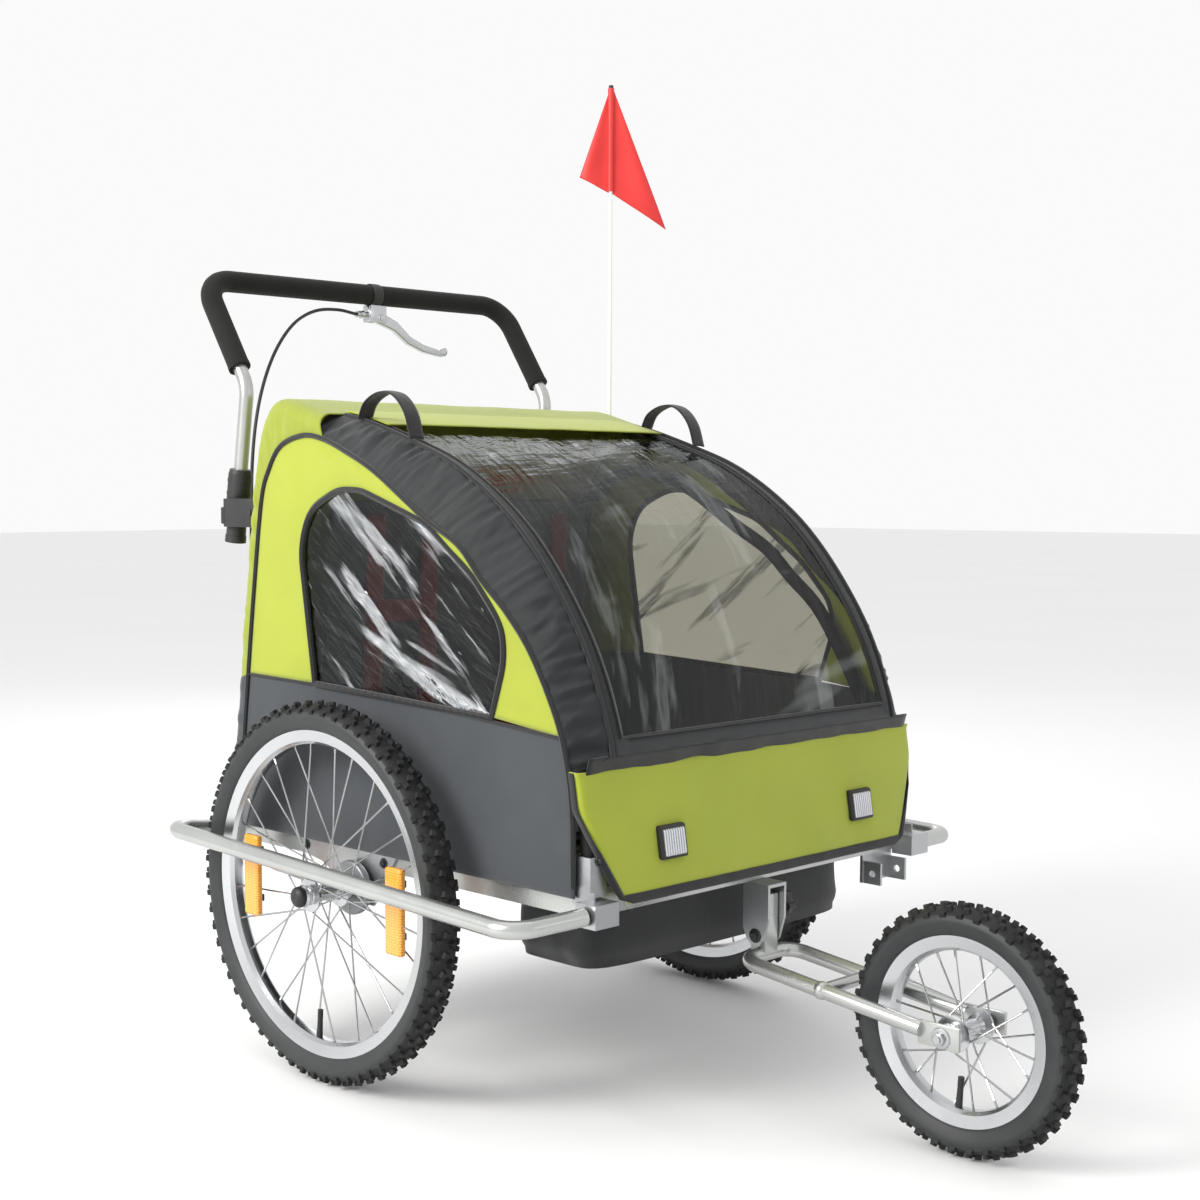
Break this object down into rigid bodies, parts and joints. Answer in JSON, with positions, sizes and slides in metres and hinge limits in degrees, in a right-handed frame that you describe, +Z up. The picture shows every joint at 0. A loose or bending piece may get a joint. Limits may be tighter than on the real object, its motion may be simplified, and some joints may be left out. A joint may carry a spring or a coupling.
{
  "type": "child bicycle trailer",
  "caption": "Two-seat child bicycle trailer in jogger form: folding tube frame, fabric cabin with clear windows, push handle with brake lever, spoked wheels and a safety flag.",
  "frame": {"origin": "centre of the footprint, on the ground under the wheels", "axes": "+Z up, -Y the way the trailer travels with the small wheel first, -X its right side"},
  "size_m": [0.8782, 1.2676, 1.404],
  "materials": {
    "steel_tube": "satin",
    "zinc_plate": "satin",
    "tyre": "matt",
    "laced_wheel": "polished",
    "foam": "matt",
    "black_plastic": "moulded",
    "lime_fabric": "woven polyester",
    "charcoal_fabric": "woven polyester",
    "black_fabric": "woven polyester",
    "webbing": "woven webbing",
    "red_webbing": "woven webbing",
    "clear_window": "clear film",
    "reflector": "ribbed",
    "lever_alloy": "polished",
    "flag_cloth": "ripstop",
    "pole": "smooth"
  },
  "bodies": {
    "root": {"arm_pivot_bolt": "zinc_plate", "axle_crossbar": "steel_tube", "brake_cable": "black_plastic", "brake_drum": "zinc_plate", "canopy": "lime_fabric", "flag_pole_socket": "black_plastic", "floor_and_footwell": "black_fabric", "front_clevis": "zinc_plate", "front_cover": "black_fabric", "front_crossbar": "steel_tube", "front_panel": "lime_fabric", "front_window": "clear_window", "hitch_bracket": "zinc_plate", "left_axle": "zinc_plate", "left_axle_plate": "zinc_plate", "left_front_bracket": "zinc_plate", "left_harness": "red_webbing", "left_lift_loop": "webbing", "left_panel_reflector": "reflector", "left_rear_bracket": "zinc_plate", "left_side_panel": "lime_fabric", "left_side_rail": "steel_tube", "left_side_window": "clear_window", "left_wheel_guard": "steel_tube", "rear_crossbar": "steel_tube", "right_axle": "zinc_plate", "right_axle_plate": "zinc_plate", "right_front_bracket": "zinc_plate", "right_harness": "red_webbing", "right_lift_loop": "webbing", "right_panel_reflector": "reflector", "right_rear_bracket": "zinc_plate", "right_side_panel": "lime_fabric", "right_side_rail": "steel_tube", "right_side_window": "clear_window", "right_wheel_guard": "steel_tube", "seat_back": "charcoal_fabric", "seat_cushion": "charcoal_fabric"},
    "right_side_frame": {"right_upright": "steel_tube", "right_hoop": "steel_tube"},
    "left_side_frame": {"left_upright": "steel_tube", "left_hoop": "steel_tube"},
    "handlebar": {"handle_tube": "steel_tube", "foam_grip": "foam", "right_handle_sleeve": "black_plastic", "left_handle_sleeve": "black_plastic", "brake_clamp": "black_plastic"},
    "brake_lever": {"brake_lever": "lever_alloy"},
    "right_wheel": {"right_tyre": "tyre", "right_laced_wheel": "laced_wheel"},
    "left_wheel": {"left_tyre": "tyre", "left_laced_wheel": "laced_wheel"},
    "jogger_arm": {"jogger_arm": "steel_tube", "jogger_axle": "zinc_plate"},
    "jogger_wheel": {"jogger_tyre": "tyre", "jogger_laced_wheel": "laced_wheel"},
    "arm_knob": {"arm_clamp_knob": "black_plastic"},
    "flag": {"flag_pole": "pole", "flag": "flag_cloth"}
  },
  "joints": [
    {"name": "right_side_fold", "type": "hinge", "parent": "root", "child": "right_side_frame", "pos_m": [-0.302, 0.23625, 0.345], "axis": [0, 1, 0], "range_deg": [0, 84], "deforming": ["seat_back", "right_harness", "left_harness", "right_side_panel", "left_side_panel", "right_side_window", "left_side_window", "canopy", "front_cover", "front_window", "right_lift_loop", "left_lift_loop"]},
    {"name": "left_side_fold", "type": "hinge", "parent": "root", "child": "left_side_frame", "pos_m": [0.302, 0.23625, 0.345], "axis": [0, -1, 0], "range_deg": [0, 88.3]},
    {"name": "handlebar_fold", "type": "hinge", "parent": "root", "child": "handlebar", "pos_m": [0, 0.49825, 0.345], "axis": [1, 0, 0], "range_deg": [0, 84.1]},
    {"name": "brake_lever_squeeze", "type": "hinge", "parent": "handlebar", "child": "brake_lever", "pos_m": [0.03, 0.61425, 1.037], "axis": [0, -1, 0], "range_deg": [0, 18], "stiffness_Nm_per_rad": 2, "springref_deg": -20.05},
    {"name": "right_wheel_spin", "type": "hinge", "parent": "root", "child": "right_wheel", "pos_m": [-0.373, 0.23625, 0.25], "axis": [1, 0, 0], "continuous": true},
    {"name": "left_wheel_spin", "type": "hinge", "parent": "root", "child": "left_wheel", "pos_m": [0.373, 0.23625, 0.25], "axis": [1, 0, 0], "continuous": true},
    {"name": "jogger_arm_fold", "type": "hinge", "parent": "root", "child": "jogger_arm", "pos_m": [0, -0.18875, 0.209], "axis": [-1, 0, 0], "range_deg": [0, 40]},
    {"name": "jogger_wheel_spin", "type": "hinge", "parent": "jogger_arm", "child": "jogger_wheel", "pos_m": [0, -0.48475, 0.149], "axis": [1, 0, 0], "continuous": true},
    {"name": "arm_knob_turn", "type": "hinge", "parent": "root", "child": "arm_knob", "pos_m": [0.033, -0.18875, 0.242], "axis": [1, 0, 0], "continuous": true},
    {"name": "flag_pole_lift", "type": "slide", "parent": "root", "child": "flag", "axis": [0, 0, 1], "range_m": [0, 0.2]}
  ],
  "couplings": [
    {"joint": "left_side_fold", "follows": "right_side_fold", "ratio": 1.05},
    {"joint": "handlebar_fold", "follows": "right_side_fold", "ratio": 1}
  ]
}
